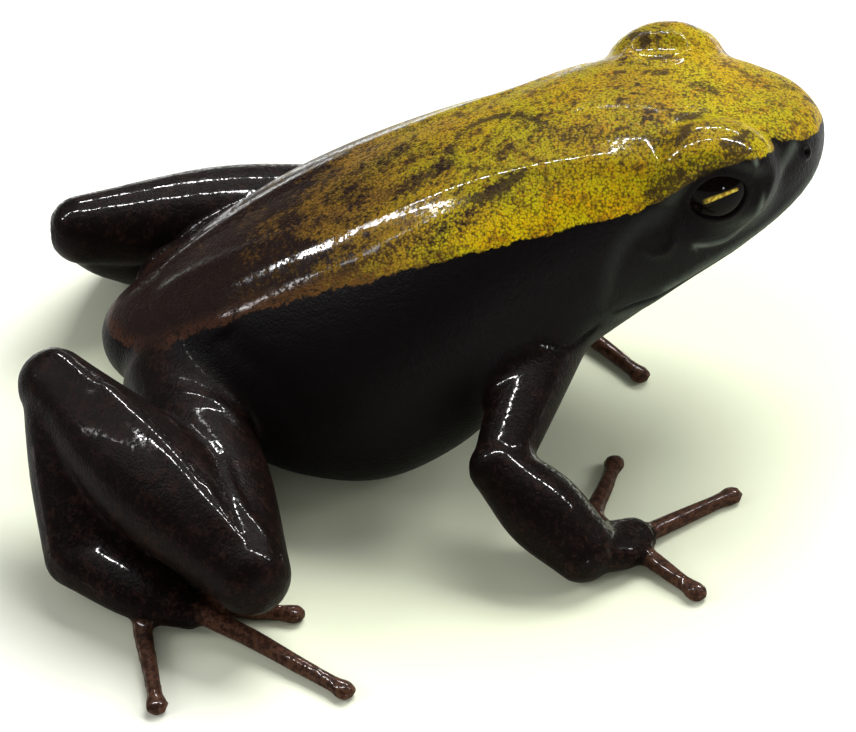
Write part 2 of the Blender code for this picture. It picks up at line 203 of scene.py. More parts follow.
def makeTrunk():
    rows = []
    for _, top, side, bottom, above, below in trunkShape["stations"]:
        rows.append(np.array([*top, *side, *bottom, above, below]))
    ends = []
    for row in (rows[1], rows[-2]):  # past a rounded tip the ring comes back upside down
        tx, tz, sx, sy, sz, bx, bz, above, below = row
        ends.append(np.array([bx, bz, sx, -sy, sz, tx, tz, above, below]))
    curve = catmullRom([ends[0], *rows, ends[1]], trunkShape["ringsPerStation"])
    rings = [bendNeck(trunkRing(row)) for row in curve[1:-1]]
    tips = [bendNeck((row[0], 0, row[1]))[0] for row in (curve[0], curve[-1])]
    return loft(rings, *tips)


def makeTube(path, girth, sides=28, steps=8, capRings=6):  # a limb with rounded ends along a smooth path
    rows = [np.array([*point, *size], float) for point, size in zip(path, girth)]
    rows = [2 * rows[0] - rows[1], *rows, 2 * rows[-1] - rows[-2]]
    curve = catmullRom(rows, steps)
    centres = [row[:3] for row in curve]
    ways = [(q - p) / np.linalg.norm(q - p) for p, q in zip(centres, centres[1:])]
    ways = [ways[0]] + [(a + b) / np.linalg.norm(a + b) for a, b in zip(ways, ways[1:])] + [ways[-1]]
    near = [(centres[0] - ways[0] * math.cos(t) * curve[0][4], ways[0], curve[0][3:] * math.sin(t))
            for t in np.linspace(0, math.pi / 2, capRings + 1)[1:-1]]
    far = [(centres[-1] + ways[-1] * math.cos(t) * curve[-1][4], ways[-1], curve[-1][3:] * math.sin(t))
           for t in np.linspace(math.pi / 2, 0, capRings + 1)[1:-1]]
    turns = np.linspace(0, 2 * math.pi, sides, endpoint=False)[:, None]
    middle = [(centre, way, row[3:]) for centre, way, row in zip(centres, ways, curve)]
    rings = []
    for centre, way, (wide, high) in near + middle + far:
        across = np.cross((0, 0, 1), way)
        across /= np.linalg.norm(across)
        upright = np.cross(way, across)
        rings.append(centre + across * wide * np.cos(turns) + upright * high * np.sin(turns))
    return loft(rings, centres[0] - ways[0] * curve[0][4], centres[-1] + ways[-1] * curve[-1][4])


def makeBall(centre, radii, turn, sides=48, rings=28):
    tilts = np.linspace(0, math.pi, rings + 1)[1:-1]
    turns = np.linspace(0, 2 * math.pi, sides, endpoint=False)
    sections = [[(math.cos(a) * math.sin(t), math.sin(a) * math.sin(t), math.cos(t)) for a in turns]
                for t in tilts]
    places, faces = loft(sections, (0, 0, 1), (0, 0, -1))
    return (places * radii) @ np.array(Matrix.Rotation(turn, 3, "Z")).T + centre, faces


# Joints of the limbs as the frog sits.
arms = {
    "right": {
        "shoulder": (3.1, -3.4, 5.0), "elbow": (0.95, -9.1, 3.2), "wrist": (3.6, -11.0, 1.0),
        "flat": [(4.7, -10.3, 0.6), (5.4, -9.8, 0.55)],
        "tips": [(2.2, -7.4), (5.0, -5.15), (9.05, -7.5), (7.35, -12.85)],
        "knuckles": [(3.4, -9.2), (4.05, -8.4), (6.0, -9.4), (5.6, -10.7)],
    },
    "left": {
        "shoulder": (3.1, 3.4, 5.0), "elbow": (0.6, 8.0, 3.2), "wrist": (3.3, 5.0, 1.0),
        "flat": [(3.6, 4.2, 0.6), (4.1, 3.5, 0.5)],
        "tips": [(0.9, 2.6), (2.4, 0.1), (6.35, -0.75), (6.9, 5.4)],
        "knuckles": [(2.8, 3.5), (3.4, 2.8), (4.15, 2.55), (4.6, 4.1)],
    },
}
legs = {
    "right": {
        "hip": (-10.3, -3.0, 3.0), "knee": (-7.25, -12.85, 2.5), "heel": (-13.92, -5.0, 4.85),
        "ankle": (-12.9, -9.8, 1.25), "flat": [(-10.9, -11.3, 0.85), (-9.3, -12.2, 0.5)],
        "tips": [(-9.0, -9.2), (-7.2, -10.2), (-5.7, -12.4), (-4.1, -16.4), (-10.3, -16.65)],
        "knuckles": [(-10.2, -10.3), (-8.9, -11.1), (-7.9, -12.0), (-7.7, -13.3), (-11.05, -12.6)],
    },
    "left": {
        "hip": (-10.3, 3.0, 3.0), "knee": (-3.4, 9.6, 2.0), "heel": (-14.0, 6.0, 3.95),
        "ankle": (-12.7, 8.5, 1.0), "flat": [(-10.5, 10.1, 0.65), (-9.0, 11.1, 0.5)],
        "tips": [(-7.2, 8.6), (-4.7, 10.1), (-3.2, 12.2), (-2.8, 15.0), (-8.7, 14.6)],
        "knuckles": [(-8.8, 9.6), (-7.7, 10.6), (-7.1, 11.7), (-7.5, 12.8), (-9.9, 12.3)],
    },
}
# Half-widths and half-heights from the near end of a segment to its far end.
girths = {
    "upperArm": [(1.5, 1.5), (1.22, 1.2), (0.9, 0.92)],
    "forearm": [(0.98, 1.0), (1.4, 1.3), (1.22, 1.0)],
    "thigh": [(1.7, 1.7), (2.0, 1.8), (1.35, 1.35)],
    "shank": [(1.3, 1.35), (2.0, 1.85), (1.3, 1.3)],
    "tarsus": [(1.15, 1.2), (1.45, 1.3), (1.5, 1.15)],
    "hand": [(0.95, 0.75), (1.15, 0.65), (0.8, 0.5)],
    "foot": [(1.4, 1.1), (1.25, 0.9), (0.75, 0.45)],
}
digits = {
    "finger": {"halfWidth": 0.28, "disc": 0.37},
    "toe": {"halfWidth": 0.28, "disc": 0.37},
    "sink": 0.07,  # how deep a soft digit presses into the ground
    "knuckleLift": 0.16,
    "taper": [(1.3, 1.2), (1.2, 1.1), (1.0, 1.0), (0.95, 0.95)],  # in half-widths
    "discPlaces": (2.3, 1.2, 0.7),  # from the tip, in discs
    "discTaper": [(1.0, 1.0), (0.95, 0.9)],  # width in discs, height in half-widths
}


def makeDigit(middle, knuckle, tip, kind):
    half, disc = kind["halfWidth"], kind["disc"]
    low = half - digits["sink"]
    middle = np.array(middle)
    knuckle = np.array([*knuckle, low + digits["knuckleLift"]])
    tip = np.array([*tip, low])
    way = (tip - knuckle) / np.linalg.norm(tip - knuckle)
    path = [middle * 0.7 + knuckle * 0.3, knuckle, (knuckle + tip) / 2]
    path += [tip - way * disc * reach for reach in digits["discPlaces"]]
    girth = [(half * wide, half * high) for wide, high in digits["taper"]]
    girth += [(disc * wide, half * high) for wide, high in digits["discTaper"]]
    return makeTube(path, girth, sides=20, steps=6)


def limbPath(start, end):
    return [start, tuple((np.array(start) + np.array(end)) / 2), end]


eyes = {
    "centre": (8.25, 3.4, 9.75),  # before the neck turns
    "radius": 1.45,
    "domeRadii": (2.25, 1.78, 1.95),
    "domeLift": 0.15,
    "pitch": 15.0,  # the corners of the eye rise towards the snout
    "openingCentre": (-4.0, 3.0),  # degrees forward and up from straight out
    "openingHalf": (41.0, 33.0),
    "reach": 3.2,
    "lidThickness": 0.08,
    "socketDepth": 0.25,
    # the rest in shares of the opening
    "rim": {"at": 1.13, "width": 0.12, "lift": 0.04},
    "lidEnd": 1.75,
    "edge": (0.93, 1.02),
    "fine": (0.75, 1.3),
}

# Every form of the body under its own name, each a closed shell.
forms = {"trunk": makeTrunk()}
eyeCentres = {}
for side in ("left", "right"):
    eyeCentres[side] = bendNeck(mirrored(eyes["centre"], side))[0]
    lifted = eyeCentres[side] + (0, 0, eyes["domeLift"])
    forms["dome." + side] = makeBall(lifted, eyes["domeRadii"], math.radians(neck["turn"]))
    arm = arms[side]
    leg = legs[side]
    paths = {
        "upperArm": limbPath(arm["shoulder"], arm["elbow"]),
        "forearm": limbPath(arm["elbow"], arm["wrist"]),
        "hand": [arm["wrist"], *arm["flat"]],
        "thigh": limbPath(leg["hip"], leg["knee"]),
        "shank": limbPath(leg["knee"], leg["heel"]),
        "tarsus": limbPath(leg["heel"], leg["ankle"]),
        "foot": [leg["ankle"], *leg["flat"]],
    }
    for kind, path in paths.items():
        forms["%s.%s" % (kind, side)] = makeTube(path, girths[kind])
    for kind, whose in (("finger", arm), ("toe", leg)):
        for number, (knuckle, tip) in enumerate(zip(whose["knuckles"], whose["tips"])):
            made = makeDigit(whose["flat"][0], knuckle, tip, digits[kind])
            forms["%s%d.%s" % (kind, number, side)] = made
print("forms of the body:", len(forms))


def makeObject(name, places, faces):
    data = bpy.data.meshes.new(name)
    data.from_pydata([tuple(p) for p in places], [], faces)
    made = bpy.data.objects.new(name, data)
    bpy.context.scene.collection.objects.link(made)
    return made


def applied(made):  # the object with its modifiers made real and taken off
    settled = made.evaluated_get(bpy.context.evaluated_depsgraph_get())
    data = bpy.data.meshes.new_from_object(settled)
    made.modifiers.clear()
    old = made.data
    made.data = data
    bpy.data.meshes.remove(old)


def readRows(items, name, width, kind=float):  # a row of numbers for each point or edge
    flat = np.zeros(len(items) * width, kind)
    items.foreach_get(name, flat)
    return flat.reshape(-1, width)


def placesOf(made):
    return readRows(made.data.vertices, "co", 3)


def setPlaces(made, places):
    made.data.vertices.foreach_set("co", np.ascontiguousarray(places, float).ravel())
    made.data.update()


def normalsOf(made):
    return readRows(made.data.vertex_normals, "vector", 3)


def faceOutwards(made):
    mesh = bmesh.new()
    mesh.from_mesh(made.data)
    bmesh.ops.recalc_face_normals(mesh, faces=mesh.faces)
    mesh.to_mesh(made.data)
    mesh.free()


def relax(places, edges, strength, rounds):  # draws each point towards the middle of its neighbours
    count = len(places)
    degree = np.bincount(edges.ravel(), minlength=count)[:, None]
    for share in rounds:
        total = np.zeros_like(places)
        for axis in range(3):
            total[:, axis] += np.bincount(edges[:, 0], weights=places[edges[:, 1], axis], minlength=count)
            total[:, axis] += np.bincount(edges[:, 1], weights=places[edges[:, 0], axis], minlength=count)
        places = places + (total / degree - places) * share * strength
    return places


skinMesh = {
    "voxel": 0.13,
    # smoothing in and out again takes the steps of the voxels out
    "settle": {"shares": [0.5, -0.52], "rounds": 5},
    "triangles": 190000,
    "fine": (0.25, 0.12),  # how near a fold the mesh is refined, and then refined again
    "fullFlow": 0.3,  # of a fillet's reach
    "freshNormals": 20,  # rounds between new normals
    # forms that flow into each other, how far the flow reaches and how many rounds it takes
    "fillets": [
        ("trunk", "dome", 1.0, 50), ("trunk", "upperArm", 1.2, 110), ("trunk", "thigh", 1.4, 130),
        ("upperArm", "forearm", 0.4, 20), ("forearm", "hand", 0.3, 12), ("thigh", "shank", 0.3, 10),
        ("shank", "tarsus", 0.4, 16), ("tarsus", "foot", 0.7, 50), ("hand", "finger", 0.5, 20),
        ("foot", "toe", 0.5, 20),
    ],
}


def makeSkin():
    allFaces = []
    start = 0
    for places, faces in forms.values():
        allFaces += [tuple(v + start for v in face) for face in faces]
        start += len(places)
    made = makeObject("skin", np.concatenate([places for places, _ in forms.values()]), allFaces)
    faceOutwards(made)
    step = made.modifiers.new("one surface", "REMESH")
    step.mode = "VOXEL"
    step.voxel_size = skinMesh["voxel"]
    step.adaptivity = 0
    applied(made)
    return made


skin = makeSkin()
places = placesOf(skin)
print("skin:", len(places), "points")


def distanceTo(name, places, reach=2):  # to the nearest form whose name starts so, for what is in reach
    found = np.full(len(places), farAway)
    for formName, (formPlaces, faces) in forms.items():
        if not formName.startswith(name):
            continue
        low = formPlaces.min(axis=0) - reach
        high = formPlaces.max(axis=0) + reach
        close = np.nonzero(np.all((places > low) & (places < high), axis=1))[0]
        tree = BVHTree.FromPolygons([Vector(p) for p in formPlaces], faces)
        for k in close:
            hit = tree.find_nearest(places[k])
            if hit[3] is not None:
                found[k] = min(found[k], hit[3])
    return found


limbKinds = ["upperArm", "forearm", "hand", "finger", "thigh", "shank", "tarsus", "foot", "toe"]
distances = {kind: distanceTo(kind, places) for kind in ["trunk", "dome", *limbKinds]}
edges = readRows(skin.data.edges, "vertices", 2, int)
places = relax(places, edges, 1.0, skinMesh["settle"]["shares"] * skinMesh["settle"]["rounds"])


def fill(places, edges, strength, rounds):  # fills creases outwards and leaves what stands proud
    touched = edges[(strength[edges] > 0.001).any(axis=1)]
    active, local = np.unique(touched, return_inverse=True)
    local = local.reshape(-1, 2)
    setPlaces(skin, places)
    normals = normalsOf(skin)[active]
    moving = places[active]
    share = strength[active][:, None]
    for turn in range(1, rounds + 1):
        if turn % skinMesh["freshNormals"] == 0:
            places[active] = moving
            setPlaces(skin, places)
            normals = normalsOf(skin)[active]
        moved = relax(moving, local, 0.5, [1.0]) - moving
        outward = np.sum(moved * normals, axis=1, keepdims=True)
        moving = moving + (moved - normals * np.minimum(outward, 0)) * share
    places[active] = moving
    return places


for first, second, reach, rounds in skinMesh["fillets"]:
    farther = np.maximum(distances[first], distances[second])
    flow = 1 - smooth(skinMesh["fullFlow"] * reach, reach, farther)
    places = fill(places, edges, flow, rounds)
places[:, 2] = np.maximum(places[:, 2], 0)
setPlaces(skin, places)
print("skin: forms joined")


def lineOn(points, step=0.04):  # the points as one close row of dots on the skin
    points = [np.array(p, float) for p in points]
    rows = [2 * points[0] - points[1], *points, 2 * points[-1] - points[-2]]
    longest = max(np.linalg.norm(q - p) for p, q in zip(points, points[1:]))
    dots = catmullRom(rows, int(math.ceil(longest / step)))
    return np.array([skin.closest_point_on_mesh(Vector(p))[1] for p in dots])


def nearest(places, dots, reach=1.5, atOnce=2000):  # distance to the closest dot, and which one it is
    found = np.full(len(places), farAway)
    which = np.zeros(len(places), int)
    inReach = (places > dots.min(axis=0) - reach) & (places < dots.max(axis=0) + reach)
    close = np.nonzero(np.all(inReach, axis=1))[0]
    for block in np.array_split(close, len(close) // atOnce + 1):
        away = np.linalg.norm(places[block, None, :] - dots[None, :, :], axis=2)
        which[block] = away.argmin(axis=1)
        found[block] = away.min(axis=1)
    return found, which


# Lines on the straight frog, one side given. lift is a ridge, or a groove where it is negative.
folds = {
    "mouth": {
        "line": [(13.0, 0.0, 8.75), (12.75, 1.0, 8.6), (12.2, 1.95, 8.4), (11.2, 3.1, 7.95), (9.4, 4.2, 7.4),
                 (7.7, 4.6, 6.8), (6.2, 4.5, 6.25), (5.2, 4.65, 6.1), (4.6, 4.8, 6.0)],
        "width": 0.07, "lift": -0.1,
    },
    "upper lip": {
        "line": [(13.0, 0.0, 9.0), (12.3, 1.95, 8.65), (11.3, 3.1, 8.2), (9.4, 4.25, 7.65), (7.7, 4.7, 7.05),
                 (6.3, 4.6, 6.5)],
        "width": 0.2, "lift": 0.05,
    },
    "lower jaw": {
        "line": [(12.2, 1.8, 8.1), (11.0, 2.9, 7.7), (9.3, 4.0, 7.1), (7.6, 4.45, 6.5), (6.1, 4.4, 5.95),
                 (4.8, 4.6, 5.7)],
        "width": 0.2, "lift": 0.04,
    },
    "orbit": {
        "line": [(9.35, 4.4, 11.08), (9.5, 4.6, 10.5), (9.62, 4.55, 9.8), (9.5, 4.6, 9.1), (9.15, 4.5, 8.5),
                 (8.5, 4.5, 8.05), (7.9, 4.6, 7.98), (7.3, 4.7, 8.05)],
        "width": 0.07, "lift": 0.05,
    },
    "lores": {
        "line": [(11.3, 2.7, 10.1), (10.8, 3.2, 9.85), (10.2, 3.8, 9.5), (9.75, 4.2, 9.1), (9.5, 4.35, 8.7)],
        "width": 0.12, "lift": 0.04,
    },
    "canthus": {
        "line": [(9.5, 4.0, 11.1), (10.3, 3.5, 10.8), (11.2, 2.7, 10.35), (12.0, 2.0, 10.0),
                 (12.6, 1.1, 9.9)],
        "width": 0.22, "lift": 0.05,
    },
    "ear fold": {
        "line": [(6.9, 4.6, 9.5), (6.0, 4.6, 9.3), (5.2, 4.6, 8.9), (4.7, 4.75, 8.2), (4.45, 4.9, 7.4),
                 (4.3, 5.0, 6.5)],
        "width": 0.25, "lift": 0.04,
    },
    "arm fold": {
        "line": [(2.3, 5.65, 6.0), (2.6, 5.55, 5.55), (3.1, 5.3, 5.25), (3.6, 5.05, 5.3), (4.1, 4.9, 5.6)],
        "width": 0.1, "lift": -0.12,
    },
    "side of the back": {
        "line": [(6.4, 3.8, 10.5), (5.5, 3.35, 10.9), (4.3, 3.0, 10.95), (2.5, 2.6, 10.7), (0.0, 2.4, 10.1),
                 (-2.5, 2.45, 9.2), (-5.0, 2.5, 8.2), (-7.5, 2.3, 6.9), (-9.5, 2.0, 5.8)],
        "width": 0.4, "lift": 0.07,
    },
    "hip bone": {
        "line": [(-3.0, 2.0, 9.1), (-5.0, 1.75, 8.3), (-7.2, 1.35, 7.3), (-9.2, 0.95, 6.3),
                 (-11.0, 0.7, 5.2)],
        "width": 0.35, "lift": 0.09,
    },
    "groin": {
        "line": [(-8.3, 3.9, 6.1), (-7.9, 4.4, 5.6), (-6.9, 5.3, 5.2), (-6.0, 6.1, 4.4), (-5.4, 6.5, 3.3)],
        "width": 0.5, "lift": -0.12,
    },
}
# Ridges of the right leg as it lies, where the wet skin stretches over muscle and bone.
legRidges = {
    "shank": {
        "line": [(-14.4, -4.2, 6.0), (-13.57, -5.04, 6.2), (-12.46, -6.46, 6.0), (-11.8, -6.88, 5.9),
                 (-11.04, -8.0, 5.8), (-10.17, -9.13, 5.5), (-9.11, -10.59, 5.0), (-8.2, -12.0, 4.5),
                 (-7.6, -13.0, 3.9)],
        "width": 0.4, "lift": 0.15,
    },
    "thigh": {
        "line": [(-8.15, -8.83, 4.5), (-7.78, -10.15, 4.4), (-7.26, -11.47, 4.15), (-6.78, -12.21, 3.9),
                 (-6.39, -12.94, 3.65)],
        "width": 0.24, "lift": 0.11,
    },
    "between": {
        "line": [(-8.61, -10.65, 4.85), (-8.03, -11.92, 4.4), (-7.33, -12.94, 3.9)],
        "width": 0.17, "lift": 0.07,
    },
    "thigh root": {
        "line": [(-10.24, -5.63, 4.5), (-9.02, -5.89, 4.65), (-8.02, -6.3, 4.35), (-7.34, -7.22, 4.05)],
        "width": 0.3, "lift": 0.12,
    },
}
foldFade = 0.15  # the share of a fold's length over which an end fades
# The oval ring on top of each eye's dome, seen from above, with its width in shares of the oval.
domeRing = {
    "centre": (7.8, 2.35),
    "half": (1.12, 0.85),
    "width": 0.17,
    "lift": 0.12,
    "hollow": 0.1,
    "slope": (0.3, 1.0),  # where the hollow rises to the ring
    "lowest": 10.6,
    "reach": 3,
    "strength": {"left": 1, "right": 0.15},
}
# Where the rim of a nostril or ear lies, and how wide it is, are in shares of its radius.
nostril = {
    "centre": (11.75, 2.5, 9.62), "radius": 0.11, "depth": 0.22,
    "rim": {"at": 1.9, "width": 0.6, "lift": 0.04},
}
ear = {
    "centre": (6.05, 4.65, 8.5), "radius": 0.55, "depth": 0.05, "slope": (0.5, 1.0),
    "rim": {"at": 1, "width": 0.2, "lift": 0.035},
}


def foldDots(name, side):
    straight = np.array([mirrored(p, side) for p in folds[name]["line"]])
    return lineOn(bendNeck(straight))


foldRows = {(name, side): foldDots(name, side) for name in folds for side in ("left", "right")}


def eyeFrame(side):  # centre, then the ways forward, outward and up of one eye
    outward = headWay(mirrored((0, 1, 0), side))
    forward = headWay((1, 0, 0))
    pitch = math.radians(eyes["pitch"])
    upward = np.array([0, 0, math.cos(pitch)]) - forward * math.sin(pitch)
    return eyeCentres[side], forward * math.cos(pitch) + np.array([0, 0, math.sin(pitch)]), outward, upward


def nostrilAway(places, side):
    return np.linalg.norm(places - bendNeck(mirrored(nostril["centre"], side))[0], axis=1)


def eyeRing(places, side):  # 1 on the rim of the eye's opening, less inside, and the distance from the eye
    centre, forward, outward, upward = eyeFrame(side)
    away = places - centre
    ahead = np.degrees(np.arctan2(away @ forward, away @ outward)) - eyes["openingCentre"][0]
    above = np.degrees(np.arctan2(away @ upward, away @ outward)) - eyes["openingCentre"][1]
    ring = np.hypot(ahead / eyes["openingHalf"][0], above / eyes["openingHalf"][1])
    far = np.linalg.norm(away, axis=1)
    ring[(away @ outward < 0.1) | (far > eyes["reach"])] = farAway
    return ring, far


def refine(made, wanted):  # halves the edges round the points that are wanted
    mesh = bmesh.new()
    mesh.from_mesh(made.data)
    mesh.verts.ensure_lookup_table()
    faces = {face for k in np.nonzero(wanted)[0] for face in mesh.verts[int(k)].link_faces}
    ring = list({edge for face in faces for edge in face.edges})
    bmesh.ops.subdivide_edges(mesh, edges=ring, cuts=1, use_grid_fill=True, smooth=0.6)
    mesh.to_mesh(made.data)
    mesh.free()


def fineSpots(places, reach):
    wanted = np.zeros(len(places), bool)
    for side in ("left", "right"):
        ring = eyeRing(places, side)[0]
        wanted |= (ring > eyes["fine"][0]) & (ring < eyes["fine"][1])
        wanted |= nostrilAway(places, side) < 2 * reach
        for name in ("mouth", "orbit"):
            wanted |= nearest(places, foldRows[name, side])[0] < reach
    return wanted


for reach in skinMesh["fine"]:
    refine(skin, fineSpots(placesOf(skin), reach))
places = placesOf(skin)
print("skin: refined to", len(places), "points")


def foldReach(width):
    return 3 * width + 0.3


def rimOf(hole, away):  # the raised rim round a hole, from the distance in radii
    return hole["rim"]["lift"] * bell(away - hole["rim"]["at"], hole["rim"]["width"])


# Folds, the rings on the domes, nostrils, ears and the opening of each eye.
normals = normalsOf(skin)
for side in ("left", "right"):
    for name, fold in folds.items():
        away, dot = nearest(places, foldRows[name, side], foldReach(fold["width"]))
        share = dot / (len(foldRows[name, side]) - 1)
        start = 1 if fold["line"][0][1] == 0 else smooth(0, foldFade, share)
        ends = smooth(1, 1 - foldFade, share) * start
        places = places + normals * (ends * fold["lift"] * bell(away, fold["width"]))[:, None]
    straight = straighten(places)
    centreX, centreY = mirrored(domeRing["centre"], side)
    oval = np.hypot((straight[:, 0] - centreX) / domeRing["half"][0],
                    (straight[:, 1] - centreY) / domeRing["half"][1])
    onTop = (straight[:, 2] > domeRing["lowest"]) & (oval < domeRing["reach"])
    push = domeRing["lift"] * bell(oval - 1, domeRing["width"])
    push = push - domeRing["hollow"] * (1 - smooth(*domeRing["slope"], oval))
    places = places + normals * (push * (onTop * domeRing["strength"][side]))[:, None]
    pit = nostrilAway(places, side) / nostril["radius"]
    push = rimOf(nostril, pit) - nostril["depth"] * bell(pit, 1)
    places = places + normals * push[:, None]
    drumCentre = lineOn(bendNeck([mirrored(ear["centre"], side)] * 2))[0]
    drum = np.linalg.norm(places - drumCentre, axis=1) / ear["radius"]
    push = rimOf(ear, drum) - ear["depth"] * (1 - smooth(*ear["slope"], drum))
    places = places + normals * push[:, None]
    ring, far = eyeRing(places, side)
    lid = eyes["radius"] + eyes["lidThickness"] + rimOf(eyes, ring)
    inside = eyes["radius"] - eyes["socketDepth"]
    wanted = np.where(ring < farAway, lid + (far - lid) * smooth(1.0, eyes["lidEnd"], ring), far)
    edge = smooth(*eyes["edge"], ring)
    wanted = np.where(ring < eyes["edge"][1], inside + (wanted - inside) * edge, wanted)
    places = eyeCentres[side] + (places - eyeCentres[side]) * (wanted / far)[:, None]
for ridge in legRidges.values():
    dots = lineOn(ridge["line"])
    away, dot = nearest(places, dots, foldReach(ridge["width"]))
    share = dot / len(dots)
    ends = smooth(0, foldFade, share) * smooth(1, 1 - foldFade, share)
    places = places + normals * (ends * ridge["lift"] * bell(away, ridge["width"]))[:, None]
places[:, 2] = np.maximum(places[:, 2], 0)
setPlaces(skin, places)
print("skin: folds and lids cut")

thin = skin.modifiers.new("thin", "DECIMATE")
triangles = sum(len(p.vertices) - 2 for p in skin.data.polygons)
thin.ratio = min(1.0, skinMesh["triangles"] / triangles)
applied(skin)
places = placesOf(skin)
straight = straighten(places)
normals = normalsOf(skin)
print("skin: thinned to", len(skin.data.polygons), "faces")

# The border of the olive back along the straight frog, with its height at each place.
backEdge = [
    (-14.0, 3.9), (-11.7, 4.15), (-10.9, 4.4), (-9.0, 5.5), (-6.8, 6.65), (-4.6, 7.5), (-1.9, 8.3),
    (0.5, 8.85), (2.7, 9.2), (4.3, 9.45), (5.4, 9.5), (6.2, 9.8), (7.1, 10.45), (8.0, 10.8), (9.1, 11.1),
    (10.1, 10.8), (11.6, 10.1), (12.6, 9.75), (13.2, 9.5),
]
# Brown marks on the straight frog, seen from above: points, half-width and strength.
marks = {
    "shoulder arc": ([(-0.2, -1.5), (0.1, -0.35), (0.7, 0.37), (1.45, 0.5), (2.2, 0.2), (2.8, -0.3),
                      (3.2, -0.9)], 0.17, 1.0),
    "nape": ([(3.2, -1.0), (3.6, -1.6), (4.0, -2.05), (4.6, -1.7)], 0.3, 0.62),
    "nape line": ([(4.4, -2.2), (5.2, -2.42), (6.3, -2.75), (6.9, -3.3)], 0.2, 0.5),
    "middle line": ([(1.3, -1.45), (1.9, -1.42), (2.45, -1.44)], 0.07, 0.8),
    "wedge": ([(0.85, -3.2), (1.5, -3.1), (2.05, -2.9)], 0.24, 1.0),
    "wedge tip": ([(2.0, -2.9), (2.4, -2.72)], 0.14, 0.9),
    "side": ([(-3.4, -3.7), (-1.8, -3.9), (0.0, -3.7), (1.0, -3.6)], 0.5, 0.5),
    "above the string": ([(-0.6, -1.5), (-2.5, -1.7), (-4.5, -1.65), (-6.0, -1.6)], 0.55, 0.75),
    "brow": ([(7.2, -3.55), (7.45, -3.25), (7.5, -2.9)], 0.26, 1.0),
    "far lid": ([(7.5, 2.05), (8.1, 2.1)], 0.24, 1.0),
    "under the far lid": ([(7.3, 0.75), (7.75, 0.8)], 0.2, 0.8),
    "between the eyes": ([(8.5, -0.1), (8.85, -0.3), (9.15, -0.85)], 0.24, 0.7),
    "brow line": ([(7.4, -1.9), (8.2, -1.9), (9.0, -1.86)], 0.05, 0.8),
    "front of the eye": ([(9.4, -3.7), (9.0, -4.1), (8.5, -4.3)], 0.22, 0.8),
    "lid edge": ([(6.0, -4.15), (7.0, -4.6), (8.2, -4.75), (9.2, -4.4)], 0.3, 0.65),
    "snout": ([(12.5, -0.15), (12.65, -0.1)], 0.2, 0.9),
    "top of the snout": ([(11.7, 0.4), (12.1, 0.25)], 0.28, 0.55),
    "streak": ([(4.9, -0.4), (5.15, 0.15)], 0.16, 0.5),
}
tintReach = {
    "midline": 1.6,  # a mark that starts nearer to it has no twin
    "limb": 0.5,
    "digit": 0.25,
    "hand": (1.6, 0.2),
    # lid: how far the painted shade round each eye reaches
    "lid": (1.5, 1.2),  # in shares of the eye's opening
    "nostril": 0.16,
    "pale": {"upper lip": (0.2, 0.8), "orbit": (0.09, 1.0), "lores": (0.16, 0.5), "lower jaw": (0.3, 0.5),
             "ear fold": (0.3, 0.12)},
    # the folds that are darkened with painted shade
    "creaseShade": {"mouth": (0.08, 1.0), "arm fold": (0.16, 1.0)},
    "throat": {"along": (1.5, 5.5), "facing": (0.2, -0.5), "strength": 0.3},
}
# The film of water lies on what faces up, and there mostly along the ridges.
wetness = {
    "facing": (0.3, 0.75),
    "ridge": (1.3, 0.5),
    "dome": (2.6, 1.6),
    "rightDome": (3.1, 3.5),  # from the middle of the head to the outer side of the dome
    "rump": (-3.0, -6.0),
    "rumpShare": 0.17,
    "trunkLeast": 0.06,
    "legRidge": (0.75, 0.4),
    "legLeast": 0.08,
    "onLeg": 0.5,
}


def drawn(shade, dots, width, strength):  # the shade with a soft line added along the dots
    return np.maximum(shade, strength * bell(nearest(places, dots, 1.2)[0], width))


back = straight[:, 2] - np.interp(straight[:, 0], *np.array(backEdge).T)
patch = np.zeros(len(places))
flatPlaces = straight * (1, 1, 0)
for line, width, strength in marks.values():
    for sign in (1, -1):
        if sign < 0 and abs(line[0][1]) < tintReach["midline"]:
            continue
        ends = [(*p, 0) for p in line]
        rows = np.array([ends[0], *ends, ends[-1]]) * (1, sign, 1)
        away = nearest(flatPlaces, np.array(catmullRom(list(rows), 24)))[0]
        patch = np.maximum(patch, strength * bell(away, width))
distances = {kind: distanceTo(kind, places) for kind in ["trunk", *limbKinds]}
limbAway = np.min([distances[kind] for kind in limbKinds], axis=0)
limb = smooth(-tintReach["limb"], tintReach["limb"], distances["trunk"] - limbAway)
digitAway = np.minimum(distances["finger"], distances["toe"])
flatAway = np.min([distances[kind] for kind in ("hand", "foot", "forearm", "tarsus")], axis=0)
digit = smooth(-tintReach["digit"], tintReach["digit"], flatAway - digitAway) * (digitAway < 1)
hand = smooth(*tintReach["hand"], np.minimum(distances["hand"], distances["foot"]))
pale = np.zeros(len(places))
# Painted shade: the mouth line, the arm fold, the nostrils and the lids round each eye are darkened as if in
# shade.
creaseShade = np.zeros(len(places))
for side in ("left", "right"):
    for name, look in tintReach["pale"].items():
        pale = drawn(pale, foldRows[name, side], *look)
    for name, look in tintReach["creaseShade"].items():
        creaseShade = drawn(creaseShade, foldRows[name, side], *look)
    creaseShade = np.maximum(creaseShade, bell(nostrilAway(places, side), tintReach["nostril"]))
    creaseShade = np.maximum(creaseShade, 0.9 * smooth(*tintReach["lid"], eyeRing(places, side)[0]))
throatLook = tintReach["throat"]
throat = smooth(*throatLook["along"], straight[:, 0]) * smooth(*throatLook["facing"], normals[:, 2])
pale = np.maximum(pale, throatLook["strength"] * (throat * (1 - limb)))

